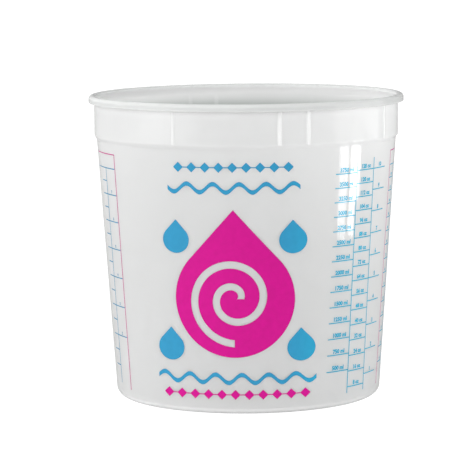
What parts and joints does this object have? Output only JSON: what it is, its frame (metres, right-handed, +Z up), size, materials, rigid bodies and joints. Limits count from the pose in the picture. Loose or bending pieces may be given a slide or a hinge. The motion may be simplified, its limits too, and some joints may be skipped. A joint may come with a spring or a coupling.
{
  "type": "mixing container",
  "caption": "Open round mixing container of milky plastic with a turned-down lip, a ribbed collar and a tapered wall, printed with volume and ratio scales for measuring paint or resin.",
  "frame": {"origin": "middle of the container's standing face, on the table", "axes": "+Z up along the container's axis, -Y towards the printed front, +X to the viewer's right, where the volume scale is"},
  "size_m": [0.2046, 0.2046, 0.196],
  "materials": {
    "moulding": "natural milky polypropylene, smooth and slightly glossy, light passes through it softly",
    "blue_ink": "thin screen-printed blue ink, satin",
    "magenta_ink": "thin screen-printed magenta ink, satin"
  },
  "bodies": {
    "root": {"container": "moulding", "volume_scale_print": "blue_ink", "chart_frame_print": "magenta_ink", "ratio_scale_print_1": "blue_ink", "ratio_scale_print_2": "blue_ink", "ratio_scale_print_3": "blue_ink", "ratio_scale_print_4": "blue_ink", "ratio_scale_print_5": "blue_ink", "large_drop_print": "magenta_ink", "small_drop_print_upper_left": "blue_ink", "small_drop_print_lower_left": "blue_ink", "small_drop_print_upper_right": "blue_ink", "small_drop_print_lower_right": "blue_ink", "upper_chain_print": "blue_ink", "upper_ribbon_print": "blue_ink", "lower_ribbon_print": "blue_ink", "lower_chain_print": "magenta_ink"}
  },
  "joints": []
}
